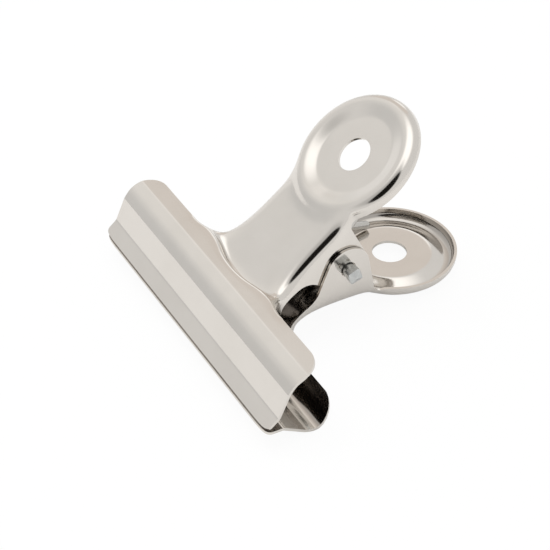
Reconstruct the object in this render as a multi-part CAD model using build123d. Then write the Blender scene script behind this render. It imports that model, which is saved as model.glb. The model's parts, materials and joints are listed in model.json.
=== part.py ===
from build123d import *
import os
from math import asin, atan2, cos, degrees, dist, pi, radians, sin, sqrt, tan

# A bulldog clip: two pressed steel plates on a pin, held shut by a torsion spring.
# Millimetres and degrees. The clip frame has its origin on the pin's axis, with +X along the pin,
# +Y along the mid-plane from the lips to the finger discs, and +Z out of the front plate.

# Sheet and jaw, in side view from the lip to the back edge
sheet = 0.5
jaw_width = 60.0
jaw_reach = 28.2        # lip edge to pin axis
jaw_depth = 12.85       # lip edge to back edge
lip_gap = 0.06          # between the two lips when shut
lip_depth = 2.64
lip_angle = 21.7
lip_overhang = 0.35     # back lip past the front lip
riser_depth = 3.08
riser_angle = 47.5
roll_depth = 2.17
roll_angle = 36.0
band_angle = 7.5        # fall of the flat band behind the roll
lip_bend = 1.0
riser_bend = 0.8
roll_bend = 3.75
shoulder_bend = 1.2
lip_corner = 1.0
back_corner = 4.5

# Neck, flanges and ears
arm_angle = 19.1
neck_width = 18.4       # over the front plate's flanges
neck_root = 2.81        # mid-plane to the neck's outer face, at the jaw's back edge
neck_bend = 2.6
neck_flare = 6.0        # radius in plan, from each flange out to the jaw
ear_gap = 0.1           # between the inner and the outer ears
ear_radius = 4.1
ear_slope = 48.0        # of the ear's edge on the jaw side
ear_lean = 8.0          # of the ear's edge on the disc side
ear_blend = 4.0
waist_blend = 1.5
flange_root = 0.71      # height of the flange where it leaves the wall

# Finger disc
disc_reach = 14.53      # pin axis to disc centre, along the arm
disc_diameter = 23.8
disc_rise = 0.45        # flat centre above the neck
back_lift = 0.5         # back disc, further out than the front one
rim_depth = 1.5         # free edge below the flat centre
hang_hole = 6.2
bead_width = 4.55       # flat centre to the outside of the rim
bead_rise = 0.95
bead_run = 1.95
flat_bend = 0.6
bead_bend = 1.0
rim_bend = 2.2

# Pin
pin_diameter = 2.45
pin_play = 0.06         # radial, in the inner ears that turn on it
ear_play = 0.22         # radial, in the outer ears
pin_neck = 0.9          # round stretch past the outer ears
stake_length = 1.9
stake_width = 2.4
stake_corner = 0.47
stake_point = 0.5       # height of the cropped point
stake_flat = 0.3        # width of the point's blunt end

# Torsion spring
wire = 1.6
coil_diameter = 7.4     # at the wire's centre
coil_gap = 0.8          # between turns
coil_room = 0.3         # least room from the coil to each inner ear
leg_lean = 13.5         # leg to the arm that it pushes
leg_seat = 0.03         # leg tip to the disc

reach = 40.0            # longer than any cut needs


def offset_corners(points, distance):
    """Corners of the same polyline, moved to the right of its run."""
    runs = [Vector(*b) - Vector(*a) for a, b in zip(points, points[1:])]
    rights = [Vector(v.Y, -v.X).normalized() for v in runs]
    pairs = zip([rights[0]] + rights, rights + [rights[-1]])
    mitres = [(a + b) * (distance / (1 + a.dot(b))) for a, b in pairs]
    moved = [Vector(*p) + m for p, m in zip(points, mitres)]
    return [(p.X, p.Y) for p in moved]


def offset_radii(points, radii, distance):
    """Bend radii on the right-hand side of a polyline: larger on left turns, smaller on right turns."""
    runs = [Vector(*b) - Vector(*a) for a, b in zip(points, points[1:])]
    turns = [a.cross(b).Z for a, b in zip(runs, runs[1:])]
    return [r + distance if turn > 0 else r - distance for r, turn in zip(radii, turns)]


def sheet_section(points, radii):
    """Section of bent sheet, with its outer face on a polyline and its thickness to the right."""
    inner = offset_corners(points, sheet)
    outer_run = FilletPolyline(*points, radius=radii)
    inner_run = FilletPolyline(*inner, radius=offset_radii(points, radii, sheet))
    ends = [Line(points[0], inner[0]), Line(points[-1], inner[-1])]
    return make_face(outer_run.edges() + inner_run.edges() + ends)


def along(start, angle, run):
    """Point reached from start by a run in Y at an angle to it."""
    return (start[0] + run, start[1] + run * tan(radians(angle)))


def tangent_line(angle, radius):
    """Foot and direction of the line at an angle that has the pin's axis on its left, at a radius."""
    way = Vector(cos(radians(angle)), sin(radians(angle)))
    return Vector(way.Y, -way.X) * radius, way


def meeting(line_a, line_b):
    """Where two lines, each a foot and a direction, cross."""
    (a, u), (b, v) = line_a, line_b
    return a + u * ((b - a).cross(v).Z / u.cross(v).Z)


def pair(v):
    return (v.X, v.Y)


# Arm frame: X along the pin, Y along the arm, Z out of its face
normal = Vector(0, -sin(radians(arm_angle)), cos(radians(arm_angle)))
slope = Vector(0, cos(radians(arm_angle)), sin(radians(arm_angle)))

# Outer face of the jaw, from the lip to the back edge
lip_edge = (-jaw_reach, sheet * cos(radians(lip_angle)) + lip_gap / 2)
riser_foot = along(lip_edge, lip_angle, lip_depth)
roll_foot = along(riser_foot, riser_angle, riser_depth)
roll_top = along(roll_foot, roll_angle, roll_depth)
back_edge = along(roll_top, -band_angle, jaw_depth - lip_depth - riser_depth - roll_depth)
jaw_bends = [lip_bend, riser_bend, roll_bend]

# Heights over the pin's axis, out of the arm, and over the mid-plane
neck_height = normal.Y * back_edge[0] + normal.Z * neck_root
front_flat = neck_height + disc_rise
back_flat = front_flat + back_lift
flange_edge = neck_root - flange_root
flat_radius = disc_diameter / 2 - bead_width
wall_middle = back_edge[0] - sheet / 2


def jaw(wall_half, overhang):
    """Jaw sheet, with the wall behind its middle stretch down to the flanges."""
    run = [(lip_edge[0] - overhang, lip_edge[1]), riser_foot, roll_foot, roll_top, back_edge]
    plain = sheet_section(run, jaw_bends)
    walled = sheet_section(run + [(back_edge[0], flange_edge)], jaw_bends + [shoulder_bend])
    half = jaw_width / 2
    sheets = extrude(Plane.YZ * walled, amount=wall_half, both=True)
    for start in (-half, wall_half):
        sheets += extrude(Plane.YZ.offset(start) * plain, amount=half - wall_half)
    front, back = run[0][0], back_edge[0]
    outline = FilletPolyline(
        (-half, front), (half, front), (half, back), (-half, back),
        radius=[lip_corner, lip_corner, back_corner, back_corner], close=True,
    )
    return sheets & extrude(make_face(outline.edges()), amount=reach)


def neck_block(half_width, height, flare, bend):
    """Bar under the neck's face, with rounded top edges, flared at the jaw and running on under the disc."""
    root = (wall_middle - height * normal.Y) / slope.Y
    wide, ahead, end = half_width + flare + sheet, root - jaw_depth, disc_reach - flat_radius
    outline = FilletPolyline(
        (half_width, end), (half_width, root), (wide, root), (wide, ahead),
        (-wide, ahead), (-wide, root), (-half_width, root), (-half_width, end),
        radius=[0, flare, 0, 0, 0, 0, flare, 0], close=True,
    )
    face = Plane(origin=normal * height, x_dir=(1, 0, 0), z_dir=normal) * make_face(outline.edges())
    bar = extrude(face, amount=-reach)
    return fillet(bar.faces().sort_by(Axis((0, 0, 0), normal))[-1].edges(), bend)


def behind(y):
    """Space on the disc side of a plane across the clip."""
    return Pos(0, y, 0) * Box(2 * reach, 2 * reach, 4 * reach, align=(Align.CENTER, Align.MIN, Align.CENTER))


def flange_outline(flat_height):
    """Side view of what the flanges keep: a strip at the jaw, the ear, and a strip down to the disc's rim."""
    strip = (Vector(0, flange_edge), Vector(1, 0))
    leading = tangent_line(-ear_slope, ear_radius)
    trailing = tangent_line(90 + ear_lean, ear_radius)
    rim_foot = Vector(normal.Y, normal.Z) * (flat_height - rim_depth)
    rim = (rim_foot, Vector(slope.Y, slope.Z))
    corners = [
        (wall_middle, flange_edge),
        pair(meeting(strip, leading)),
        pair(meeting(leading, trailing)),
        pair(meeting(trailing, rim)),
        pair(rim_foot + rim[1] * reach),
        (reach, reach),
        (wall_middle, reach),
    ]
    bends = [0, ear_blend, ear_radius, waist_blend, 0, 0, 0]
    return make_face(FilletPolyline(*corners, radius=bends, close=True).edges())


def disc_parts(flat_height):
    """Finger disc as a turned sheet, and the hollow under it."""
    radius, top = disc_diameter / 2, flat_height + bead_rise
    run = [
        (hang_hole / 2, flat_height),
        (flat_radius, flat_height),
        (flat_radius + bead_run, top),
        (radius, top),
        (radius, flat_height - rim_depth),
    ]
    bends = [flat_bend, bead_bend, rim_bend]
    inner = offset_corners(run, sheet)
    hollow = FilletPolyline(
        (0, inner[0][1]), *inner[1:4], (inner[4][0], 0), (0, 0),
        radius=[0] + offset_radii(run, bends, sheet) + [0, 0], close=True,
    )
    across = Plane(origin=slope * disc_reach, x_dir=(1, 0, 0), z_dir=slope * -1)
    axis = Axis(slope * disc_reach, normal)
    faces = sheet_section(run, bends), make_face(hollow.edges())
    return [revolve(across * face, axis) for face in faces]


def plate(width, flat_height, bore_radius, overhang):
    """One plate, as the front one: jaw, wall, neck with flanges and ears, and disc."""
    half = width / 2
    inside = neck_block(half - sheet, neck_height - sheet, neck_flare + sheet, neck_bend - sheet)
    inside &= behind(back_edge[0] - 2 * sheet)
    wall_half = half + neck_flare + sheet
    flanged = extrude(Plane.YZ * flange_outline(flat_height), amount=wall_half + sheet, both=True)
    disc, hollow = disc_parts(flat_height)
    neck = (neck_block(half, neck_height, neck_flare, neck_bend) & flanged) - inside - hollow
    body = (jaw(wall_half, overhang) - inside) + neck + (disc - inside)
    return body - Plane.YZ * Cylinder(bore_radius, 2 * reach)


def pin(length):
    """Wire pin, staked square at both ends, each cropped to a blunt point."""
    half = length / 2
    shank = Plane.YZ * Cylinder(pin_diameter / 2, length - 2 * stake_length)
    stake = extrude(RectangleRounded(stake_width, stake_width, stake_corner), amount=stake_length)
    foot = stake_length - stake_point
    square = Rectangle(stake_width, stake_width)
    blunt = Rectangle(stake_flat, stake_flat)
    point = loft([Pos(0, 0, foot) * square, Pos(0, 0, stake_length) * blunt], ruled=True)
    end = stake & (extrude(square, amount=foot) + point)
    at_end = Plane.YZ.offset(half - stake_length) * end
    return shank + at_end + mirror(at_end, about=Plane.YZ)


def biarc(start, start_way, end, end_way):
    """Two arcs that leave start along start_way and arrive at end along end_way."""
    span, ways = end - start, start_way + end_way
    bend = 2 * (1 - start_way.dot(end_way))
    lead = (sqrt(span.dot(ways) ** 2 + bend * span.dot(span)) - span.dot(ways)) / bend
    middle_way = (end - end_way * lead) - (start + start_way * lead)
    middle = start + start_way * lead + middle_way / 2
    return [TangentArc(start, middle, tangent=start_way), TangentArc(middle, end, tangent=middle_way)]


def spring_path():
    """Centre line of the spring: a leg to the front disc, the coil, and a leg to the back disc."""
    radius, lean = coil_diameter / 2, radians(leg_lean)
    leg_angle = radians(arm_angle) + lean
    legs = []
    for flat_height in (front_flat, back_flat):
        rise = flat_height - sheet - leg_seat - (radius + wire / 2) * cos(lean)
        legs.append(rise / sin(lean))
    first = pi / 2 + leg_angle
    part_turn = (pi - first) / pi
    pitch = wire + coil_gap
    room = neck_width - 2 * (sheet + coil_room) - wire
    total = 2 * pi * (int(room / pitch - part_turn) + part_turn)
    steps = round(total / (pi / 2))
    width = pitch * total / (2 * pi)
    points, ways = [], []
    for step in range(steps + 1):
        angle = first + total * step / steps
        drift = 0 if step in (0, steps) else -pitch / (2 * pi * radius)
        points.append(Vector(width / 2 - width * step / steps, radius * cos(angle), radius * sin(angle)))
        ways.append(Vector(drift, -sin(angle), cos(angle)).normalized())
    edges = [Line(points[0] - ways[0] * legs[0], points[0])]
    for step in range(steps):
        edges += biarc(points[step], ways[step], points[step + 1], ways[step + 1])
    edges.append(Line(points[-1], points[-1] + ways[-1] * legs[1]))
    return Wire(edges)


def self_gap(path):
    """Least gap between stretches of the wire that are not neighbours, on points along its centre."""
    count = int(path.length / (wire / 4))
    points = [tuple(path.position_at(i / count)) for i in range(count + 1)]
    neighbours = 12
    return min(dist(p, q) for i, p in enumerate(points) for q in points[i + neighbours:]) - wire


def spring(path):
    start = Plane(origin=path.position_at(0), z_dir=path.tangent_at(0))
    return sweep(start * Circle(wire / 2), path=path)


def bend_centre(before, corner, after, radius):
    """Centre of the arc that rounds a corner."""
    a = (Vector(*before) - Vector(*corner)).normalized()
    b = (Vector(*after) - Vector(*corner)).normalized()
    middle = (a + b).normalized()
    return Vector(*corner) + middle * (radius / sqrt((1 - a.dot(b)) / 2))


def rest_pitch():
    """Turn about X that lays the back plate's roll and the far edge of its disc on one level."""
    roll = bend_centre(roll_foot, roll_top, back_edge, roll_bend)
    run = disc_reach + disc_diameter / 2 - rim_bend
    rim = slope * run + normal * (back_flat + bead_rise - rim_bend)
    across, down = rim.Y - roll.X, rim.Z - roll.Y
    return degrees(atan2(down, across) - asin((roll_bend - rim_bend) / sqrt(across**2 + down**2)))


outer_width = neck_width + 2 * (sheet + ear_gap)
front = plate(neck_width, front_flat, pin_diameter / 2 + pin_play, 0)
back = mirror(plate(outer_width, back_flat, pin_diameter / 2 + ear_play, lip_overhang), about=Plane.XY)
path = spring_path()
pieces = {
    "front_plate": front,
    "back_plate": back,
    "pivot_pin": pin(outer_width + 2 * (pin_neck + stake_length)),
    "torsion_spring": spring(path),
}

# The clip lies on its back plate, with the origin under the middle of its box
turned = Rot(rest_pitch(), 0, 0)
box = Compound([turned * piece for piece in pieces.values()]).bounding_box()
place = Pos(-box.center().X, -box.center().Y, -box.min.Z) * turned

os.makedirs("parts", exist_ok=True)
for name, piece in pieces.items():
    export_step(place * piece, f"parts/{name}.step")

print("spring gap to itself", round(self_gap(path), 3))
wire_volume = pi * wire**2 / 4 * path.length
print("spring volume over section times length", round(pieces["torsion_spring"].volume / wire_volume, 5))
print("rest pitch", round(rest_pitch(), 3), "box", box.size)
print("pin axis", tuple(round(v, 4) for v in place.position))
for name, flat_height, side in (("front", front_flat, 1), ("back", back_flat, -1)):
    middle = slope * disc_reach + normal * (flat_height - sheet / 2)
    spot = place * Pos(0, middle.Y, side * middle.Z)
    way = turned * Pos(0, normal.Y, side * normal.Z)
    print(name, "hole", tuple(round(v, 4) for v in spot.position), tuple(round(v, 5) for v in way.position))
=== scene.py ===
# %% [markdown]
# # A bulldog clip
# The clip is two pressings of nickelled sheet steel, a staked pin and a coil of spring wire.
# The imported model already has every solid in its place, in metres, lying shut on its back plate.
# Here the same four pieces are made again as smooth meshes, and get the finishes that the real ones have.

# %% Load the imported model
import json
import math
from collections import namedtuple

import bmesh
import bpy
from mathutils import Matrix, Vector


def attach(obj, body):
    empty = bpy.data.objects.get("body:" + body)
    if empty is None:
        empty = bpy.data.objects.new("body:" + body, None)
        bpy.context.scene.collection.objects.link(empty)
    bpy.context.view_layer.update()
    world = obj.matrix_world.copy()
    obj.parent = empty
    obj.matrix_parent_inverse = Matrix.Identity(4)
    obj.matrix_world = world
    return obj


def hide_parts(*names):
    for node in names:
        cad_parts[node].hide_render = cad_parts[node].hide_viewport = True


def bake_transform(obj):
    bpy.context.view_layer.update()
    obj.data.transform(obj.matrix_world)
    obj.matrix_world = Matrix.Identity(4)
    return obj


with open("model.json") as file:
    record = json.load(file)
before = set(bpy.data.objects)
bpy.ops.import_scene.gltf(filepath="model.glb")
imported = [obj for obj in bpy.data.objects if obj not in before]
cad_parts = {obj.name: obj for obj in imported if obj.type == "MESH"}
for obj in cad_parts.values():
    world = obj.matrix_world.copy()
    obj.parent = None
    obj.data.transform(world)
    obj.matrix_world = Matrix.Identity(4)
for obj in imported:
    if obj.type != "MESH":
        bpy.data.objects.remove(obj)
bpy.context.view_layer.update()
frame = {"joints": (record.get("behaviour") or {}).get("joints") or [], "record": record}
scene = bpy.context.scene
scene.view_settings.view_transform = "Standard"
MM = 0.001

# %% [markdown]
# ## The clip's own axes
# Every size of the clip is easiest to give from the pin: X along the pin, Y towards the discs, and Z out of
# the front plate. The record has the pin's place and the direction of the grip, so the turn from these axes
# to the model's is read from it. The meshes are made in millimetres in the clip's axes and moved at the end.

# %% From the clip's axes to the model's
hinge = frame["joints"][0]
mounts = {mount["name"]: mount for mount in frame["record"]["mounts"]}
grip = mounts["jaw_grip"]["axis"]
pitch = math.atan2(-grip[2], -grip[1])
place = Matrix.Translation(hinge["pos_m"]) @ Matrix.Rotation(pitch, 4, "X") @ Matrix.Scale(MM, 4)
flip = Matrix.Scale(-1, 4, (0, 0, 1))
print("pin at", [round(v, 5) for v in hinge["pos_m"]], "pitch", round(math.degrees(pitch), 3))

# %% [markdown]
# ## Camera
# The photograph is taken from above the right end of the jaw, from a short way off. A camera that sees the
# lip edges and the rims of both holes where the photograph has them gives the eye, the lens and a roll.

# %% Set the camera
LENS, SENSOR, NEAREST = 122.59, 36, 0.01
EYE = Vector((219.87, -116.91, 213.71)) * MM
AIM = Vector((5.22, -10.75, 12.0)) * MM
ROLL = math.radians(-4.087)

camera_data = bpy.data.cameras.new("camera")
camera_data.lens = LENS
camera_data.sensor_width = SENSOR
camera_data.clip_start = NEAREST
camera = bpy.data.objects.new("camera", camera_data)
scene.collection.objects.link(camera)
scene.camera = camera
sight = (AIM - EYE).normalized()
turn = sight.to_track_quat("-Z", "Y").to_matrix() @ Matrix.Rotation(ROLL, 3, "Z")
camera.matrix_world = Matrix.Translation(EYE) @ turn.to_4x4()
print("camera", [round(v, 4) for v in camera.location], "lens", camera_data.lens)

# %% [markdown]
# ## The pressings
# Both plates are one strip of sheet: a lip, a riser, a roll and a band make the jaw; a wall drops from the
# band to the neck; the neck carries two flanges and ends in a round disc with a raised bead and a rim.
# Dies bend the sheet, so no bend is sharp. Bevels on a folded sheet could round the plain bends, but they
# make poor corners where three bends meet. So each plate is a cage with few rows, smoothed by subdivision.
# The back plate is the front plate's twin, a little wider, so that its ears lie outside the front ones.

# %% Sizes of the pressings, in millimetres
JAW_HALF = 29.99
LIP_EDGE = Vector((-28.2, 0.495))
RISER_FOOT = Vector((-25.56, 1.545))
ROLL_FOOT = Vector((-22.48, 4.906))
BACK_EDGE = Vector((-15.35, 5.83))

# Half width of the neck, height of the disc's face, radius of the pin's holes, how far the lip reaches past
# the other one, radius of the jaw's back corners, corner that the roll rounds, and the ridge behind it
Plate = namedtuple("Plate", "name half flat bore overhang back_corner roll_top ridge")
FRONT = Plate("pressed_front", 9.2, 8.128, 1.285, 0, 4.2, Vector((-20.737, 6.172)), Vector((-18.3, 6.3)))
BACK = Plate("pressed_back", 9.8, 8.628, 1.445, 0.35, 6.0, Vector((-20.31, 6.483)), Vector((-18.0, 6.179)))
plates = (FRONT, BACK)
print("jaws", 2 * JAW_HALF, "mm wide, necks", [2 * plate.half for plate in plates], "mm wide")

# %% [markdown]
# ## The outline of the jaw
# Seen from its end, the jaw is a flat lip, a steep riser, and a roll that runs back to an edge. A crease
# stays crisp under subdivision if it has a row close by on either side, and a round bend needs rows spread
# over its arc. So only the points where the sheet turns are given, and the rows beside them are worked out.

# %% Rows of the jaw, from the lip to the back edge
ROLL_BEND, ROLL_STEPS = 4.3, 3
CREASE, ROLL_CREASE, RIDGE_CREASE = 0.35, 0.36, 0.3
FLAT_RUN = 1.5


def between(a, b, distance):
    """A point at a distance from a on the way to b."""
    return a + (b - a).normalized() * distance


def bend_rows(before, corner, after, radius, steps):
    """Rows spread over the arc of a bend; the inner ones stand out by what subdivision takes in again."""
    into, out = (corner - before).normalized(), (after - corner).normalized()
    turn = math.atan2(into.x * out.y - into.y * out.x, into.dot(out))
    start = corner - into * radius * math.tan(abs(turn) / 2)
    inward = Vector((-into.y, into.x)) * math.copysign(1, turn)
    centre = start + inward * radius
    # A row ends up at a mean of itself and its two neighbours, with weights of 4, 1 and 1
    wide = radius * 6 / (4 + 2 * math.cos(turn / steps))
    rows = []
    for step in range(steps + 1):
        c, s = math.cos(turn * step / steps), math.sin(turn * step / steps)
        spoke = Vector((-inward.x * c + inward.y * s, -inward.x * s - inward.y * c))
        rows.append(centre + spoke * (radius if step in (0, steps) else wide))
    return rows


def jaw_rows(plate):
    """Rows of the jaw's outer face: each bend with a row on either side, and a ridge after the roll."""
    lip = LIP_EDGE - Vector((plate.overhang, 0))
    top, ridge = plate.roll_top, plate.ridge
    return [
        lip,
        between(RISER_FOOT, lip, FLAT_RUN),
        between(RISER_FOOT, lip, CREASE),
        RISER_FOOT,
        between(RISER_FOOT, ROLL_FOOT, CREASE),
        between(ROLL_FOOT, RISER_FOOT, CREASE),
        ROLL_FOOT,
        between(ROLL_FOOT, top, ROLL_CREASE),
        *bend_rows(ROLL_FOOT, top, ridge, ROLL_BEND, ROLL_STEPS),
        between(ridge, top, RIDGE_CREASE),
        ridge,
        between(ridge, BACK_EDGE, RIDGE_CREASE),
        between(BACK_EDGE, ridge, FLAT_RUN),
        BACK_EDGE,
    ]


print("rows of a jaw", len(jaw_rows(FRONT)))

# %% [markdown]
# ## Growing a sheet
# A cage could be typed in as lists of vertices and faces, but every change would then mean new lists. It is
# grown instead, as a tailor adds strips to a pattern: a chain of vertices is the first edge, and each
# extrusion of the chain adds one strip of quads. `grow` extrudes a chain and puts the new one in its place.

# %% Chains and strips
def only(kind, geom):
    """The items of one kind among those that an operator made."""
    return [item for item in geom if isinstance(item, kind)]


def edges_of(bm, chain):
    """The edges between the vertices of a chain."""
    return [bm.edges.get(pair) for pair in zip(chain, chain[1:])]


def twins(chain, made):
    """For each vertex of a chain, the copy that an operator drew out of it."""
    fresh = set(only(bmesh.types.BMVert, made))
    neighbours = [[edge.other_vert(vert) for edge in vert.link_edges] for vert in chain]
    return [next(vert for vert in around if vert in fresh) for around in neighbours]


def chain_of(bm, points):
    """A row of vertices joined by edges."""
    verts = [bm.verts.new(point) for point in points]
    for pair in zip(verts, verts[1:]):
        bm.edges.new(pair)
    return verts


def grow(bm, chain, points):
    """Extrudes a chain into a strip of faces, and gives back the new chain at its far side."""
    far = twins(chain, bmesh.ops.extrude_edge_only(bm, edges=edges_of(bm, chain))["geom"])
    for vert, point in zip(far, points):
        vert.co = point
    return far


def lengthen(bm, chain, points):
    """Adds vertices to the end of a chain."""
    chain = list(chain)
    for point in points:
        step = bmesh.ops.extrude_vert_indiv(bm, verts=[chain[-1]])["verts"][0]
        step.co = point
        chain.append(step)
    return chain


sheets = [bmesh.new() for plate in plates]
print("sheets begun", len(sheets))

# %% [markdown]
# ## The jaw and the wall behind it
# The right half of the jaw is grown sideways, column by column, from the middle to the end. In front of the
# neck the columns go on over the back edge and down a wall. The press leaves no straight line there: the
# seam bows, and beside the neck the wall flares out into the flange. Each column has its share of both.

# %% Columns at the seam
ARM_ANGLE = math.radians(19.1)
NECK_ROOT = 2.81
FLARE_HEIGHT, FLARE_FADE = 4.95, 4
BOW_BEFORE = 0.4
# How far the wall's upper row and its foot lie behind or below the edge, in the middle and at the flare
WALL_BEHIND, WALL_BELOW, ROOT_BEHIND = (0.1, 0.3), (1.6, 0.4), (0.12, 0.9)


def mix(low, high, share):
    """A value between two others."""
    return low + (high - low) * share


def column_at(x, rows):
    """The jaw's rows at a place along the pin."""
    return [Vector((x, p.x, p.y)) for p in rows]


def seam_column(rows, reach, share, bow):
    """A column in front of the neck: the jaw's rows with the bow of the seam, and two rows of the wall."""
    x, fade = reach * share, share**FLARE_FADE
    slope = (rows[-1] - rows[-2]).normalized()
    band = Vector((0, slope.x, slope.y))
    column = column_at(x, rows)
    column[-1] += bow * band
    column[-2] += BOW_BEFORE * bow * band
    edge = column[-1].y
    root = edge + mix(*ROOT_BEHIND, fade)
    foot = NECK_ROOT + (root - BACK_EDGE.x) * math.tan(ARM_ANGLE)
    column.append(Vector((x, edge + mix(*WALL_BEHIND, fade), BACK_EDGE.y - mix(*WALL_BELOW, fade))))
    column.append(Vector((x, root, mix(foot, FLARE_HEIGHT, fade))))
    return column


print("rows of a column at the seam", len(seam_column(jaw_rows(FRONT), FRONT.half, 0, 0)))

# %% Grow the jaws
FLARE_REACH = 1.9
# Shares of the reach, from the middle of the seam to the flare, and how far the seam bows back there
SEAM_BOW = ((0, -0.55), (0.19, -0.45), (0.38, -0.15), (0.56, 0.35), (0.74, 0.8), (1, 0.6))
SKIRT = (3.6, 1.2, -2.0)
WALL_ENDS = ((4.2, (5.4, 4.9, *SKIRT)), (6.6, (5.3, 4.7, 3.8, 2.8, 1.8)))
END_BEHIND = 0.2
JAW_COLUMN, CORNER_COLUMN = 10.2, 25.2


def jaw_cage(bm, plate):
    """Right half of the jaw; gives back the foot of its wall and the skirt, which the neck grows from."""
    rows = jaw_rows(plate)
    wall, chain = [], []
    for share, bow in SEAM_BOW:
        column = seam_column(rows, plate.half + FLARE_REACH, share, bow)
        chain = grow(bm, chain, column) if chain else chain_of(bm, column)
        wall.append(chain[-1])
    flare = wall[-1].co
    chain = lengthen(bm, chain, [Vector((flare.x, flare.y, z)) for z in SKIRT])
    skirt = chain[-len(SKIRT):]
    for aside, heights in WALL_ENDS:
        x = plate.half + aside
        end = [Vector((x, BACK_EDGE.x + END_BEHIND, z)) for z in heights]
        chain = grow(bm, chain, column_at(x, rows) + end)
    outer = chain[:len(rows)]
    for x in (plate.half + JAW_COLUMN, CORNER_COLUMN, JAW_HALF):
        outer = grow(bm, outer, column_at(x, rows))
    return wall, skirt


jaws = [jaw_cage(bm, plate) for bm, plate in zip(sheets, plates)]
print("cage faces with half a jaw", [len(bm.faces) for bm in sheets])

# %% [markdown]
# ## The finger disc
# The disc is a flat face round the hanging hole, a raised bead that stiffens it, and a rim that is turned
# down and feels smooth to a finger. A round form is best spun, so one outline is turned about the disc's
# axle. Over the neck's width only the face and the bead are spun, because the sheet runs on into the neck
# there. At the neck's corner the rim joins the outline, and the rest is spun in one go.

# %% Spin the discs
DISC_REACH, DISC_RADIUS = 14.53, 11.9
HOLE_RADIUS, RIM_DEPTH = 3.1, 1.5
DISC_FACE = ((HOLE_RADIUS, 0), (4.7, 0), (6.2, 0), (7.1, 0), (7.4, 0.02))
DISC_BEAD = ((8.1, 0.26), (9.1, 0.63), (10.0, 0.89), (11.05, 0.61))
DISC_RIM = ((11.75, -0.15), (DISC_RADIUS, -1.0), (DISC_RADIUS, -RIM_DEPTH))
COLLAR_STEPS, RIM_STEPS = 5, 13
COLLAR_RISE = DISC_BEAD[-1][1]
# Subdivision draws a ring of so few sides in a little, and the cage is larger by about as much
RING_SPARE = 1.004


def arm(x, along, out):
    """A point along the arm from the pin, and out from it, in the clip's axes."""
    c, s = math.cos(ARM_ANGLE), math.sin(ARM_ANGLE)
    return Vector((x, along * c - out * s, along * s + out * c))


def disc_points(plate, outline, angle):
    """Points of an outline on the disc, at an angle about its axle from the side of the neck."""
    c, s = RING_SPARE * math.cos(angle), RING_SPARE * math.sin(angle)
    return [arm(radius * s, DISC_REACH - radius * c, plate.flat + height) for radius, height in outline]


def spin_chain(bm, chain, angle, steps):
    """Turns a chain about the disc's axle into strips of faces, and gives back what it made last."""
    hub, axle = arm(0, DISC_REACH, 0), arm(0, 0, 1)
    geom = edges_of(bm, chain) + chain
    return bmesh.ops.spin(bm, geom=geom, cent=hub, axis=axle, angle=angle, steps=steps)["geom_last"]


def disc_cage(bm, plate):
    """Right half of the disc; gives back the collar that the neck runs into, and the rim at its corner."""
    corner = math.asin(plate.half / DISC_RADIUS)
    chain = chain_of(bm, disc_points(plate, DISC_FACE + DISC_BEAD, 0))
    collar = [chain[-1]]
    for step in range(COLLAR_STEPS):
        chain = twins(chain, spin_chain(bm, chain, corner / COLLAR_STEPS, 1))
        collar.append(chain[-1])
    chain = lengthen(bm, chain, disc_points(plate, DISC_RIM, corner))
    spin_chain(bm, chain, math.pi - corner, RIM_STEPS)
    return collar, chain[-len(DISC_RIM):]


discs = [disc_cage(bm, plate) for bm, plate in zip(sheets, plates)]
print("cage faces with half a disc", [len(bm.faces) for bm in sheets])

# %% [markdown]
# ## The neck and its flanges
# The neck is a channel: a back with a flange folded down on either side, which makes thin sheet stiff. Each
# of its rows starts in the middle, runs out to the bend and goes down the flange. The first rows are nearly
# straight and swell where the wall flares out. The last ones are round, because the neck climbs into the
# bead of the disc over a soft valley, and they end in the collar that the disc already has.

# %% Rows of the neck
NECK_HEIGHT, NECK_BEND = 7.678, 2.6
NECK_SHARES = (0, 0.195, 0.39, 0.56)
FLANGE_MIDDLE, FLANGE_FOOT = 2.5, -5.0
LIFT_FADE = 5


def neck_shares(plate):
    """Shares of the half width where a row has vertices; the last two are the bend's start and corner."""
    return [*NECK_SHARES, (plate.half - NECK_BEND) / plate.half, 1]


def neck_row(plate, middle, side, swell, cut, lift):
    """A row of the neck and its flange, with its place along the arm in the middle and at the side."""
    shares = neck_shares(plate)
    edge = plate.half + swell
    along = [mix(middle, side, share**2) for share in shares]
    row = [arm(edge * share, u, NECK_HEIGHT + lift * share**LIFT_FADE) for share, u in zip(shares, along)]
    row[-1] = arm(edge - cut, along[-1], NECK_HEIGHT + lift - cut)
    heights = (NECK_HEIGHT - NECK_BEND + lift, FLANGE_MIDDLE + lift, FLANGE_FOOT)
    return row + [arm(edge, along[-1], height) for height in heights]


def valley_row(plate, radius, climb, cut, heights):
    """A row of the valley, round the disc's hub, and its flange."""
    xs = [plate.half * share for share in neck_shares(plate)]
    along = [DISC_REACH - math.sqrt(radius**2 - x**2) for x in xs]
    level = mix(NECK_HEIGHT, plate.flat + COLLAR_RISE, climb)
    row = [arm(x, u, level) for x, u in zip(xs, along)]
    row[-1] = arm(plate.half - cut, along[-1], level - cut)
    return row + [arm(plate.half, along[-1], height) for height in heights]


print("shares of the neck's half width", [round(share, 3) for share in neck_shares(FRONT)])

# %% Grow the necks
# Along the arm in the middle and at the side, swell of the side, cut of the bend's corner, lift of the side
NECK_ROWS = (
    (-11.5, -10.8, 1.25, 0.6, 0.95),
    (-8.4, -7.6, 0.4, 0.5, 0.2),
    (-5.2, -4.0, 0.05, 0.5, 0),
    (-1.9, 0.3, 0, 0.5, 0),
)
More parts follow.
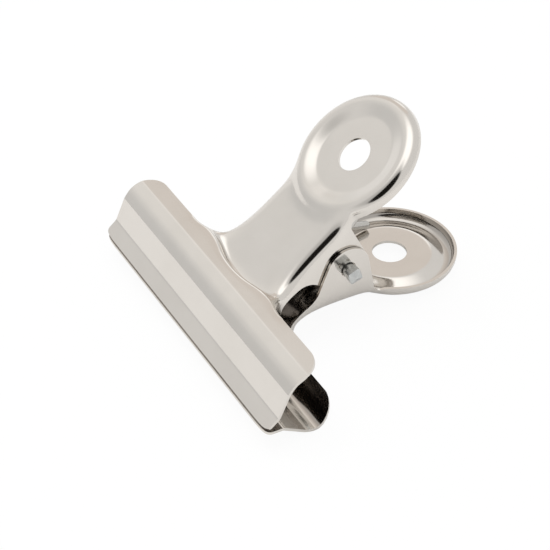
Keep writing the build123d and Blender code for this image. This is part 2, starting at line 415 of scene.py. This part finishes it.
# Distance from the hub, share of the climb to the collar, cut of the corner, heights down the flange
VALLEY_ROWS = (
    (14.5, 0.0, 0.5, (NECK_HEIGHT - NECK_BEND, FLANGE_MIDDLE, FLANGE_FOOT)),
    (13.3, 0.06, 0.35, (6.2, 5.3, 3.0)),
    (12.15, 0.38, 0.15, (7.3, 6.9, 6.5)),
)
JOIN_WITHIN, ON_MIDDLE = 1e-4, 1e-6


def neck_cage(bm, plate, wall, skirt, collar, rim):
    """Right half of the neck and its flange, from the wall of the jaw to the collar of the disc."""
    chain = wall + skirt
    for row in NECK_ROWS:
        chain = grow(bm, chain, neck_row(plate, *row))
    for row in VALLEY_ROWS:
        chain = grow(bm, chain, valley_row(plate, *row))
    grow(bm, chain, [vert.co.copy() for vert in collar + rim])


def add_mirror(bm):
    """Adds the left half of a right half, and joins the two in the middle."""
    bmesh.ops.mirror(bm, geom=bm.verts[:] + bm.edges[:] + bm.faces[:], axis="X", merge_dist=JOIN_WITHIN)


def close_sheet(bm):
    """Joins the neck to the disc where they meet, and makes the half sheet whole."""
    bmesh.ops.remove_doubles(bm, verts=bm.verts, dist=JOIN_WITHIN)
    for vert in bm.verts:
        if abs(vert.co.x) < ON_MIDDLE:
            vert.co.x = 0
    add_mirror(bm)


for bm, plate, jaw, disc in zip(sheets, plates, jaws, discs):
    neck_cage(bm, plate, *jaw, *disc)
    close_sheet(bm)
print("cage faces of the whole sheets", [len(bm.faces) for bm in sheets])

# %% [markdown]
# ## The die
# A press blanks the outline of the flanges and ears with a die. The same is done here: a block with the
# die's outline, a rod for the pin's holes and four corner blocks are taken away from the sheet. Cutting the
# smooth sheet keeps the cage simple, because its rows don't have to follow the ears.

# %% Outline of the ears
FLANGE_EDGE = 2.1
EAR_RADIUS, EAR_SLOPE, EAR_LEAN = 4.1, 48.0, 8.0
EAR_BLEND, WAIST_BLEND = 4.0, 1.5
EAR_STEPS, BLEND_STEPS = 28, 10
DIE_START, DIE_FLOOR, DIE_PAST_HUB = -18.5, -14.0, 14.0
RIM_SPARE = 0.03


def arc(centre, radius, start, end, steps):
    """Points of a round stretch in the plane of an outline, with its angles in degrees."""
    angles = [math.radians(mix(start, end, step / steps)) for step in range(steps + 1)]
    return [(centre[0] + radius * math.cos(a), centre[1] + radius * math.sin(a)) for a in angles]


def ear_outline(plate):
    """Outline of the die under a flange: straight edge, blend, round ear, waist and the plane of the rim."""
    slope, lean = math.radians(EAR_SLOPE), math.radians(EAR_LEAN)
    blend_z = FLANGE_EDGE - EAR_BLEND
    blend_y = -(EAR_RADIUS + EAR_BLEND + math.cos(slope) * blend_z) / math.sin(slope)
    c, s = math.cos(ARM_ANGLE), math.sin(ARM_ANGLE)
    rim_out = plate.flat - RIM_DEPTH - RIM_SPARE
    out, reach = rim_out - WAIST_BLEND, EAR_RADIUS + WAIST_BLEND
    waist_z = (out * math.cos(lean) + reach * s) / (c * math.cos(lean) + s * math.sin(lean))
    waist_y = (reach - math.sin(lean) * waist_z) / math.cos(lean)
    waist_end = 90 + math.degrees(ARM_ANGLE)
    far = arm(0, DISC_REACH + DIE_PAST_HUB, rim_out)
    return [
        (DIE_START, FLANGE_EDGE),
        *arc((blend_y, blend_z), EAR_BLEND, 90, 90 - EAR_SLOPE, BLEND_STEPS),
        *arc((0, 0), EAR_RADIUS, 270 - EAR_SLOPE, 360 + EAR_LEAN, EAR_STEPS),
        *arc((waist_y, waist_z), WAIST_BLEND, 180 + EAR_LEAN, waist_end, BLEND_STEPS),
        (far.y, far.z),
        (far.y, DIE_FLOOR),
        (DIE_START, DIE_FLOOR),
    ]


print("points of the ear outline", len(ear_outline(FRONT)))

# %% Make the dies
DIE_HALF = 17.0
HOLE_SIDES = 40
ALONG_PIN = Matrix.Rotation(math.radians(90), 4, "Y")
LIP_CORNER, CORNER_STEPS = 1.0, 8
CORNER_SPARE, CORNER_FLOOR, CORNER_HEIGHT = 2, -2, 12


def prism(bm, outline, to_space, depth):
    """A closed block: an outline as one face, pushed along depth."""
    face = bm.faces.new([bm.verts.new(to_space(a, b)) for a, b in outline])
    far = bmesh.ops.extrude_face_region(bm, geom=[face], use_keep_orig=True)["geom"]
    bmesh.ops.translate(bm, vec=depth, verts=only(bmesh.types.BMVert, far))


def corner_block(bm, side, y, radius, towards):
    """A block that rounds one corner of the jaw in plan."""
    x = side * JAW_HALF
    middle = (x - side * radius, y + towards * radius)
    outer = (x + side * CORNER_SPARE, y - towards * CORNER_SPARE)
    start = 0 if side > 0 else 180
    quarter = 90 if side * towards < 0 else -90
    outline = arc(middle, radius, start, start + quarter, CORNER_STEPS)
    outline += [(middle[0], outer[1]), outer, (outer[0], middle[1])]
    prism(bm, outline, lambda a, b: Vector((a, b, CORNER_FLOOR)), Vector((0, 0, CORNER_HEIGHT)))


def die(plate):
    """All that the press cuts away: the room round the ears, the pin's holes and the corners of the jaw."""
    bm = bmesh.new()
    prism(bm, ear_outline(plate), lambda y, z: Vector((-DIE_HALF, y, z)), Vector((2 * DIE_HALF, 0, 0)))
    bmesh.ops.create_cone(bm, cap_ends=True, segments=HOLE_SIDES, radius1=plate.bore, radius2=plate.bore,
                          depth=2 * DIE_HALF, matrix=ALONG_PIN)
    for side in (1, -1):
        corner_block(bm, side, LIP_EDGE.x - plate.overhang, LIP_CORNER, 1)
        corner_block(bm, side, BACK_EDGE.x, plate.back_corner, -1)
    return bm


dies = [die(plate) for plate in plates]
print("faces of the dies", [len(bm.faces) for bm in dies])

# %% [markdown]
# ## Painted shade in the hollows
# The sheet is painted darker in the throat, under the lip and inside the disc's rim: this is painted shade
# for these hollows. An occlusion node could find such places, but it would darken every crease as well.
# So the mask is written into the mesh as an attribute of the inner faces, and the material reads it.

# %% Mark the inner faces
# Where each region of painted shade starts and is full, or starts to end and is over, in millimetres
THROAT_START, THROAT_END = (ROLL_FOOT.x + 1.8, ROLL_FOOT.x + 2.8), (1.0, 6.0)
LIP_END = (RISER_FOOT.x - 1.2, RISER_FOOT.x - 0.2)
RIM_FROM_PIN, RIM_FROM_HUB = (2.0, 6.0), (9.4, 11.0)
# Share of the painted shade that the inside of the rim gets
RIM_SHADE_SHARE = 0.75
INNER_FACE = 1


def rise(value, low, high):
    """From 0 at low to 1 at high, eased at both ends."""
    t = min(1.0, max(0.0, (value - low) / (high - low)))
    return t * t * (3 - 2 * t)


def recess_shade_at(co):
    """How much painted shade an inner face gets: full in the throat and under the lip, in part in the rim.
    """
    along = co.y * math.cos(ARM_ANGLE) + co.z * math.sin(ARM_ANGLE)
    from_hub = math.hypot(co.x, along - DISC_REACH)
    throat = rise(co.y, *THROAT_START) * (1 - rise(co.y, *THROAT_END))
    lip = 1 - rise(co.y, *LIP_END)
    rim = rise(along, *RIM_FROM_PIN) * rise(from_hub, *RIM_FROM_HUB)
    return max(throat, lip, RIM_SHADE_SHARE * rim)


def paint_recess_shade(mesh):
    """Writes the painted shade of the inner faces, which have the second material place, into the mesh."""
    bm = bmesh.new()
    bm.from_mesh(mesh)
    # The painted shade goes into an attribute on the corners of the inner faces
    recess_shade = bm.loops.layers.float.new("recess_shade")
    for face in bm.faces:
        if face.material_index == INNER_FACE:
            for loop in face.loops:
                loop[recess_shade] = recess_shade_at(loop.vert.co)
        face.material_index = 0
    bm.to_mesh(mesh)
    bm.free()


print("recess at the hub", recess_shade_at(arm(0, DISC_REACH, 0)), "and at the pin", recess_shade_at(arm(0, 0, 0)))

# %% [markdown]
# ## In the press
# Subdivision rounds the cage, Solidify gives it the sheet's thickness on the inside, and a Boolean takes
# the die away. The result replaces the cage, so that its inner faces can be marked. The back plate is made
# face up like the front one and mirrored at the end, which turns its faces inside out, so they are flipped.

# %% Press a cage
SHEET = 0.5
SMOOTH_LEVELS = 2
DOUBLE_WITHIN = 1e-8


def add_piece(name, bm, to_model):
    """An object at the origin with the mesh of a bmesh, its doubles merged and its faces turned outwards."""
    bmesh.ops.transform(bm, matrix=to_model, verts=bm.verts)
    bmesh.ops.remove_doubles(bm, verts=bm.verts, dist=DOUBLE_WITHIN)
    bmesh.ops.recalc_face_normals(bm, faces=bm.faces)
    mesh = bpy.data.meshes.new(name)
    bm.to_mesh(mesh)
    bm.free()
    piece = bpy.data.objects.new(name, mesh)
    scene.collection.objects.link(piece)
    return piece


def press(blank, punch):
    """The mesh of a cage after subdivision, thickening and the cuts of a die."""
    # One material place for the outer faces and one for the inner faces
    blank.data.materials.append(None)
    blank.data.materials.append(None)
    smooth = blank.modifiers.new("smooth", "SUBSURF")
    smooth.levels = smooth.render_levels = SMOOTH_LEVELS
    wall = blank.modifiers.new("sheet", "SOLIDIFY")
    wall.thickness = SHEET
    wall.offset = -1
    wall.use_even_offset = True
    wall.use_quality_normals = True
    wall.material_offset = INNER_FACE
    cut = blank.modifiers.new("cut", "BOOLEAN")
    cut.operation = "DIFFERENCE"
    cut.object = punch
    cut.solver = "EXACT"
    graph = bpy.context.evaluated_depsgraph_get()
    return bpy.data.meshes.new_from_object(blank.evaluated_get(graph))


print("sheet", SHEET, "mm thick, each cage face in", 4**SMOOTH_LEVELS, "parts")

# %% Press both plates
SHEET_CREASE = math.radians(32)


def press_plate(name, sheet, cutter, to_model):
    """One finished plate, at its place in the model."""
    piece = add_piece(name, sheet, Matrix.Identity(4))
    punch = add_piece(name + "_die", cutter, Matrix.Identity(4))
    finished = press(piece, punch)
    bpy.data.objects.remove(punch)
    paint_recess_shade(finished)
    piece.modifiers.clear()
    piece.data = finished
    finished.transform(to_model)
    if to_model.determinant() < 0:
        finished.flip_normals()
    finished.shade_smooth()
    finished.set_sharp_from_angle(angle=SHEET_CREASE)
    triangles = sum(len(polygon.vertices) - 2 for polygon in finished.polygons)
    print(name, "triangles", triangles, "size", [round(v / MM, 2) for v in piece.dimensions])
    return piece


front_plate, back_plate = (
    press_plate(plate.name, sheet, cutter, to_model)
    for plate, sheet, cutter, to_model in zip(plates, sheets, dies, (place, place @ flip))
)

# %% [markdown]
# ## The pin
# The pin is a length of plated wire, pushed through all four ears and staked: a tool squeezes each end
# square, so that it can't slip back, and crops it to a blunt point. One ring is extruded step by step here,
# from round to square to the point. Rings close to each other soften the stake's edges without a bevel.

# %% Rings of the pin
PIN_RADIUS, PIN_HALF, PIN_SIDES = 1.225, 12.6, 64
STAKE_LENGTH, STAKE_HALF = 1.9, 1.2
STAKE_POINT, STAKE_FLAT = 0.5, 0.15
ROUND, SQUARE, CRISP = 2, 6, 14


def push_ring(bm, edges):
    """Extrudes a ring of edges, and gives back the vertices and the edges of the new ring."""
    made = bmesh.ops.extrude_edge_only(bm, edges=edges)["geom"]
    ring = only(bmesh.types.BMVert, made)
    ahead = [edge for edge in only(bmesh.types.BMEdge, made) if all(vert in ring for vert in edge.verts)]
    return ring, ahead


def set_ring(ring, x, half, form):
    """Puts a ring of vertices on a circle, or on a square with rounder or crisper corners."""
    for vert in ring:
        angle = math.atan2(vert.co.z, vert.co.y)
        c, s = math.cos(angle), math.sin(angle)
        radius = half / (abs(c)**form + abs(s)**form) ** (1 / form)
        vert.co = Vector((x, radius * c, radius * s))


print("pin", 2 * PIN_RADIUS, "mm thick, stakes", 2 * STAKE_HALF, "mm square")

# %% Make the pin
# Distances of the rings from the foot of the stake, from the base of its point and from its tip
ROUND_RUN, FOOT_BEFORE, FOOT_AFTER = 0.3, 0.05, 0.1
BASE_BEFORE, BASE_AFTER, BASE_CUT, TIP_BEFORE = 0.06, 0.04, 0.08, 0.05
PIN_CREASE = math.radians(14)


def pin_mesh():
    """Half of the pin, extruded ring by ring from its middle to its point, and its mirror image."""
    bm = bmesh.new()
    bmesh.ops.create_circle(bm, cap_ends=False, segments=PIN_SIDES, radius=PIN_RADIUS, matrix=ALONG_PIN)
    foot, base = PIN_HALF - STAKE_LENGTH, PIN_HALF - STAKE_POINT
    rings = [
        (foot - ROUND_RUN, PIN_RADIUS, ROUND),
        (foot - FOOT_BEFORE, PIN_RADIUS, ROUND),
        (foot + FOOT_AFTER, STAKE_HALF, SQUARE),
        (base - BASE_BEFORE, STAKE_HALF, SQUARE),
        (base + BASE_AFTER, STAKE_HALF - BASE_CUT, CRISP),
        (PIN_HALF - TIP_BEFORE, STAKE_FLAT + BASE_CUT, CRISP),
        (PIN_HALF, STAKE_FLAT, CRISP),
    ]
    edges = bm.edges[:]
    for x, half, form in rings:
        ring, edges = push_ring(bm, edges)
        set_ring(ring, x, half, form)
    bmesh.ops.contextual_create(bm, geom=edges)
    add_mirror(bm)
    return bm


pin = add_piece("staked_pin", pin_mesh(), place)
pin.data.shade_smooth()
pin.data.set_sharp_from_angle(angle=PIN_CREASE)
print("pin", [round(v / MM, 2) for v in pin.dimensions])

# %% [markdown]
# ## The spring
# The spring is one length of round wire: a leg under the front disc, six turns round the pin and a leg under
# the back disc. A curve with a bevel could draw it, but a circle that is spun about the pin with a small
# step sideways follows the way it is wound. The two open ends of the coil are extruded into the legs.

# %% Wind the spring
WIRE_RADIUS, WIRE_SIDES = 0.8, 20
COIL_RADIUS, COIL_HALF = 3.7, 7.583
COIL_TURNS, COIL_STEPS = 6.319, 180
FRONT_LEG, BACK_LEG, LEG_LEAN = 13.80, 15.94, 13.5
LEG_SHARES = (0.1, 0.3, 0.575, 0.025)
TIP_SHARE = 0.75
WIRE_CREASE = math.radians(35)


def add_leg(bm, edges, leg):
    """Extrudes an end of the coil along a leg, and closes it with a tip that is a little narrower."""
    for share in LEG_SHARES:
        ring, edges = push_ring(bm, edges)
        bmesh.ops.translate(bm, vec=leg * share, verts=ring)
    middle = sum((vert.co for vert in ring), Vector()) / len(ring)
    bmesh.ops.scale(bm, vec=[TIP_SHARE] * 3, space=Matrix.Translation(-middle), verts=ring)
    bmesh.ops.contextual_create(bm, geom=edges)


def spring_mesh():
    """The coil, a circle of wire spun about the pin, and a leg at each of its ends."""
    bm = bmesh.new()
    start, sweep = math.pi / 2 + ARM_ANGLE + math.radians(LEG_LEAN), 2 * math.pi * COIL_TURNS
    seat = Matrix.Translation((COIL_HALF, 0, 0)) @ Matrix.Rotation(start, 4, "X")
    seat = seat @ Matrix.Translation((0, COIL_RADIUS, 0))
    bmesh.ops.create_circle(bm, cap_ends=False, segments=WIRE_SIDES, radius=WIRE_RADIUS, matrix=seat)
    first = bm.edges[:]
    spun = bmesh.ops.spin(bm, geom=bm.edges[:] + bm.verts[:], cent=(0, 0, 0), axis=(1, 0, 0),
                          dvec=(-2 * COIL_HALF / COIL_STEPS, 0, 0), angle=sweep, steps=COIL_STEPS)
    last = only(bmesh.types.BMEdge, spun["geom_last"])
    for edges, angle, length in ((first, start, -FRONT_LEG), (last, start + sweep, BACK_LEG)):
        add_leg(bm, edges, Vector((0, -math.sin(angle), math.cos(angle))) * length)
    return bm


spring = add_piece("wound_spring", spring_mesh(), place)
spring.data.shade_smooth()
spring.data.set_sharp_from_angle(angle=WIRE_CREASE)
print("spring", [round(v / MM, 2) for v in spring.dimensions])

# %% [markdown]
# ## Finishes
# Plated sheet is never one flat grey. The plating bath leaves faint clouds, and the rolling mill leaves fine
# lines along the strip. A picture of such metal could be wrapped round the pieces, but it would show seams,
# and noise in the space of the object has none. Each effect is a node group, so that every metal of the clip
# can use it with its own scale and strength. The groups put out values, and shaders stay in the materials.

# %% Nodes and groups
def add_node(tree, kind, values=None, **settings):
    """A new shader node with its settings and the values of its inputs."""
    made = tree.nodes.new("ShaderNode" + kind)
    for name, setting in settings.items():
        setattr(made, name, setting)
    for socket, value in (values or {}).items():
        made.inputs[socket].default_value = value
    return made


def group_with(name, inputs, output):
    """An empty shader node group with its sockets, and its two end nodes."""
    group = bpy.data.node_groups.new(name, "ShaderNodeTree")
    for label, value in inputs.items():
        socket = group.interface.new_socket(label, in_out="INPUT", socket_type="NodeSocketFloat")
        socket.default_value = value
    group.interface.new_socket(output, in_out="OUTPUT", socket_type="NodeSocketFloat")
    return group, group.nodes.new("NodeGroupInput"), group.nodes.new("NodeGroupOutput")


print("groups before", len(bpy.data.node_groups))

# %% Clouds and lines
def plating_clouds():
    """Soft clouds of the plating bath, from 0 to 1."""
    group, given, result = group_with("plating_clouds", {"Scale": 120.0, "Contrast": 0.5}, "Cloud")
    spot = add_node(group, "TexCoord")
    noise = add_node(group, "TexNoise", {"Detail": 5, "Roughness": 0.6})
    centre = add_node(group, "Math", {1: 0.5}, operation="SUBTRACT")
    spread = add_node(group, "Math", {2: 0.5}, operation="MULTIPLY_ADD", use_clamp=True)
    group.links.new(spot.outputs["Object"], noise.inputs["Vector"])
    group.links.new(given.outputs["Scale"], noise.inputs["Scale"])
    group.links.new(noise.outputs["Fac"], centre.inputs[0])
    group.links.new(centre.outputs[0], spread.inputs[0])
    group.links.new(given.outputs["Contrast"], spread.inputs[1])
    group.links.new(spread.outputs[0], result.inputs["Cloud"])
    return group


def drawn_lines():
    """Fine lines along X, as a mill or a drawing die leaves them, from 0 to 1."""
    group, given, result = group_with("drawn_lines", {"Fineness": 900.0, "Stretch": 0.04}, "Line")
    spot = add_node(group, "TexCoord")
    parts = add_node(group, "SeparateXYZ")
    squeeze = add_node(group, "Math", operation="MULTIPLY")
    whole = add_node(group, "CombineXYZ")
    noise = add_node(group, "TexNoise", {"Detail": 3})
    group.links.new(spot.outputs["Object"], parts.inputs[0])
    group.links.new(parts.outputs["X"], squeeze.inputs[0])
    group.links.new(given.outputs["Stretch"], squeeze.inputs[1])
    group.links.new(squeeze.outputs[0], whole.inputs["X"])
    group.links.new(parts.outputs["Y"], whole.inputs["Y"])
    group.links.new(parts.outputs["Z"], whole.inputs["Z"])
    group.links.new(whole.outputs[0], noise.inputs["Vector"])
    group.links.new(given.outputs["Fineness"], noise.inputs["Scale"])
    group.links.new(noise.outputs["Fac"], result.inputs["Line"])
    return group


clouds, lines = plating_clouds(), drawn_lines()
print("groups", [group.name for group in bpy.data.node_groups])

# %% [markdown]
# ## Metals
# Bright nickel on the sheet, duller zinc on the pin and oiled wire in the spring differ in tone, gloss and
# grain only, so one function makes all three. Tone and gloss follow the clouds, and clouds and lines make
# a very shallow relief. Only the nickel has a further tone: painted shade on the inner faces of its hollows.

# %% Make the nickel
RELIEF_DEPTH = 0.0001
# The places of the two colours and of the result on a Mix node for colours
MIX_A, MIX_B, MIX_OUT = 6, 7, 2


def tint(tree, under, mask, colour):
    """Lays a colour over another one, or over what a node puts out, where a mask says so."""
    mixed = add_node(tree, "Mix", data_type="RGBA")
    mixed.inputs[MIX_B].default_value = (*colour, 1)
    tree.links.new(mask, mixed.inputs["Factor"])
    if isinstance(under, tuple):
        mixed.inputs[MIX_A].default_value = (*under, 1)
    else:
        tree.links.new(under, mixed.inputs[MIX_A])
    return mixed.outputs[MIX_OUT]


def metal(name, dark, light, rough, cloud, line, bump, recess_shade=None):
    """A plated metal: its tone and gloss follow the clouds, its lines stand a little proud, and it may carry
    painted shade.
    """
    material = bpy.data.materials.new(name)
    material.use_nodes = True
    tree = material.node_tree
    shader = tree.nodes["Principled BSDF"]
    shader.inputs["Metallic"].default_value = 1.0
    haze = add_node(tree, "Group", node_tree=clouds)
    haze.inputs["Scale"].default_value, haze.inputs["Contrast"].default_value = cloud
    grain = add_node(tree, "Group", node_tree=lines)
    grain.inputs["Fineness"].default_value, grain.inputs["Stretch"].default_value = line
    gloss = add_node(tree, "MapRange", {"To Min": rough[0], "To Max": rough[1]})
    height = add_node(tree, "Math", operation="ADD")
    relief = add_node(tree, "Bump", {"Strength": bump, "Distance": RELIEF_DEPTH})
    tone = tint(tree, dark, haze.outputs["Cloud"], light)
    # Painted shade: the given dark tone darkens the inner faces where the attribute says so
    if recess_shade:
        deep = add_node(tree, "Attribute", attribute_name="recess_shade")
        tone = tint(tree, tone, deep.outputs["Fac"], recess_shade)
    tree.links.new(haze.outputs["Cloud"], gloss.inputs["Value"])
    tree.links.new(haze.outputs["Cloud"], height.inputs[0])
    tree.links.new(grain.outputs["Line"], height.inputs[1])
    tree.links.new(height.outputs[0], relief.inputs["Height"])
    tree.links.new(tone, shader.inputs["Base Color"])
    tree.links.new(gloss.outputs[0], shader.inputs["Roughness"])
    tree.links.new(relief.outputs[0], shader.inputs["Normal"])
    return material


# The last colour is painted shade for the hollows of the throat, the lip and the rim
nickel = metal("bright_nickel", dark=(0.655, 0.62, 0.575), light=(0.72, 0.685, 0.64), rough=(0.09, 0.15),
               cloud=(140, 1.2), line=(1500, 0.03), bump=0.03, recess_shade=(0.32, 0.295, 0.27))
print(nickel.name, "nodes", len(nickel.node_tree.nodes))

# %% Make the other metals, and give each piece its own
zinc = metal("zinc_skin", dark=(0.50, 0.51, 0.50), light=(0.62, 0.63, 0.62), rough=(0.24, 0.38),
             cloud=(700, 2.0), line=(2500, 0.1), bump=0.12)
steel = metal("oiled_steel", dark=(0.50, 0.485, 0.455), light=(0.60, 0.58, 0.55), rough=(0.18, 0.28),
              cloud=(500, 1.8), line=(2500, 0.1), bump=0.1)
for piece, finish in ((front_plate, nickel), (back_plate, nickel), (pin, zinc), (spring, steel)):
    piece.data.materials.clear()
    piece.data.materials.append(finish)
    print(piece.name, finish.name)

# %% [markdown]
# ## Floor
# The clip lies on a white ground that shows only its soft shadow. Paint alone would look grey in this light,
# so the floor glows to the camera, and a little in the metal's reflections, and other rays see the paint.
# The clip gets no extra light that way, and its shadow stays.

# %% Lay the floor
FLOOR_HALF = 2.0
PAINT, PAINT_ROUGHNESS = (0.93, 0.93, 0.93), 0.9
GLOW_SEEN, GLOW_REFLECTED = 0.94, 0.25


def white_ground():
    """White paint that glows by the kind of ray that sees it."""
    material = bpy.data.materials.new("white_ground")
    material.use_nodes = True
    tree = material.node_tree
    paint = tree.nodes["Principled BSDF"]
    paint.inputs["Base Color"].default_value = (*PAINT, 1)
    paint.inputs["Roughness"].default_value = PAINT_ROUGHNESS
    glow = add_node(tree, "Emission")
    ray = add_node(tree, "LightPath")
    bounced = add_node(tree, "Math", operation="ADD")
    reflected = add_node(tree, "Math", {1: GLOW_REFLECTED}, operation="MULTIPLY")
    share = add_node(tree, "Math", {1: GLOW_SEEN}, operation="MULTIPLY_ADD")
    mixed = add_node(tree, "MixShader")
    tree.links.new(ray.outputs["Is Glossy Ray"], bounced.inputs[0])
    tree.links.new(ray.outputs["Is Transmission Ray"], bounced.inputs[1])
    tree.links.new(bounced.outputs[0], reflected.inputs[0])
    tree.links.new(ray.outputs["Is Camera Ray"], share.inputs[0])
    tree.links.new(reflected.outputs[0], share.inputs[2])
    tree.links.new(share.outputs[0], mixed.inputs["Fac"])
    tree.links.new(paint.outputs[0], mixed.inputs[1])
    tree.links.new(glow.outputs[0], mixed.inputs[2])
    tree.links.new(mixed.outputs[0], tree.nodes["Material Output"].inputs["Surface"])
    return material


floor_mesh = bpy.data.meshes.new("floor")
bm = bmesh.new()
bmesh.ops.create_grid(bm, x_segments=1, y_segments=1, size=FLOOR_HALF)
bm.to_mesh(floor_mesh)
bm.free()
floor_mesh.materials.append(white_ground())
floor = bpy.data.objects.new("floor", floor_mesh)
scene.collection.objects.link(floor)
print("floor", [round(v, 2) for v in floor.dimensions])

# %% [markdown]
# ## The tent of light
# Polished metal shows nothing but what is around it, so the surroundings are painted as carefully as the
# metal. The photograph has a white tent with a dark side behind the camera, which the bends of the sheet
# pick up as black streaks. Panels and lamps could stand there, but soft round patches on the world are
# easier to place. Each has a direction, two angles and a colour, and covers the ones before it. Past the
# floor, the camera itself sees plain white.

# %% Patches of the tent
# Azimuth and elevation of the middle, angles where the patch starts to fade and is gone, and its colour
PATCHES = (
    ((178, 45), 8, 34, (0.99, 0.985, 0.975)),  # bright wall beyond the left end of the jaw
    ((150, 30), 16, 24, (0.86, 0.81, 0.77)),  # warm grey panel opposite the camera
    ((178, 45), 2, 8, (1.08, 1.07, 1.06)),  # brightest spot of the wall
    ((-172, 4), 4, 24, (1.02, 1.02, 1.02)),  # white strip at the foot of the wall
    ((139, 21), 4, 12, (1.3, 1.3, 1.3)),  # small lamp low behind the discs
    ((-125, 0), 12, 36, (0.76, 0.765, 0.77)),  # shade low in front of the lips
    ((0, 90), 14, 40, (1.6, 1.6, 1.6)),  # lamp overhead
    ((-60, 46), 16, 38, (0.62, 0.62, 0.62)),  # half shade beside the dark side
    ((-38, 38), 21, 29, (0.01, 0.009, 0.008)),  # dark side, behind the camera
)


def direction(azimuth, elevation):
    """A unit vector from its turn about Z and its height, in degrees."""
    a, e = math.radians(azimuth), math.radians(elevation)
    return Vector((math.cos(e) * math.cos(a), math.cos(e) * math.sin(a), math.sin(e)))


def patch(tree, way, towards, inner, outer):
    """A mask of the world: 1 within inner degrees of a direction, fading to 0 at outer degrees."""
    near = add_node(tree, "VectorMath", {1: towards}, operation="DOT_PRODUCT")
    limits = {"From Min": math.cos(math.radians(outer)), "From Max": math.cos(math.radians(inner))}
    fade = add_node(tree, "MapRange", limits, interpolation_type="SMOOTHSTEP")
    tree.links.new(way, near.inputs[0])
    tree.links.new(near.outputs["Value"], fade.inputs["Value"])
    return fade.outputs["Result"]


print("patches", len(PATCHES), "brightest", max(colour for *_, colour in PATCHES))

# %% Paint the world
TENT, BACKDROP = (0.87, 0.87, 0.87), (1, 1, 1)

world = bpy.data.worlds.new("tent")
scene.world = world
world.use_nodes = True
tree = world.node_tree
way = add_node(tree, "TexCoord").outputs["Generated"]
colour = TENT
for middle, inner, outer, tone in PATCHES:
    colour = tint(tree, colour, patch(tree, way, direction(*middle), inner, outer), tone)
ray = add_node(tree, "LightPath")
seen = add_node(tree, "Math", operation="ADD")
tree.links.new(ray.outputs["Is Camera Ray"], seen.inputs[0])
tree.links.new(ray.outputs["Is Transmission Ray"], seen.inputs[1])
colour = tint(tree, colour, seen.outputs[0], BACKDROP)
tree.links.new(colour, tree.nodes["Background"].inputs["Color"])
print("world", world.name, "nodes", len(tree.nodes))

# %% [markdown]
# ## Soft lamp
# The world lights the clip evenly from all sides, and that leaves hardly a shadow. One large, weak lamp
# above and to the left gives the shadow a side. It is hidden from reflections, where it would be a square.

# %% Hang the lamp
LAMP_SPOT, LAMP_AIM = Vector((-0.15, -0.10, 0.55)), Vector((0, 0, 0.01))
LAMP_WIDTH, LAMP_WATTS = 0.35, 0.9

lamp = bpy.data.lights.new("key", "AREA")
lamp.size = LAMP_WIDTH
lamp.energy = LAMP_WATTS
holder = bpy.data.objects.new("key", lamp)
scene.collection.objects.link(holder)
holder.location = LAMP_SPOT
holder.rotation_euler = (LAMP_AIM - LAMP_SPOT).to_track_quat("-Z", "Y").to_euler()
holder.visible_glossy = False
print("lamp", LAMP_WIDTH, "m wide,", LAMP_WATTS, "W")

# %% [markdown]
# ## Which piece moves with what
# The front plate turns on the pin, which stays with the back plate. The spring is only moved into the
# model's place, and rides on neither plate.

# %% Ride and replace
for piece, node, body, slot in (
    (front_plate, "front_plate", "front", "nickelled_sheet"),
    (back_plate, "back_plate", "back", "nickelled_sheet"),
    (pin, "pivot_pin", "back", "zinc_plated_wire"),
):
    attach(piece, body)
    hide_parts(node)
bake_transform(spring)
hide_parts("torsion_spring")
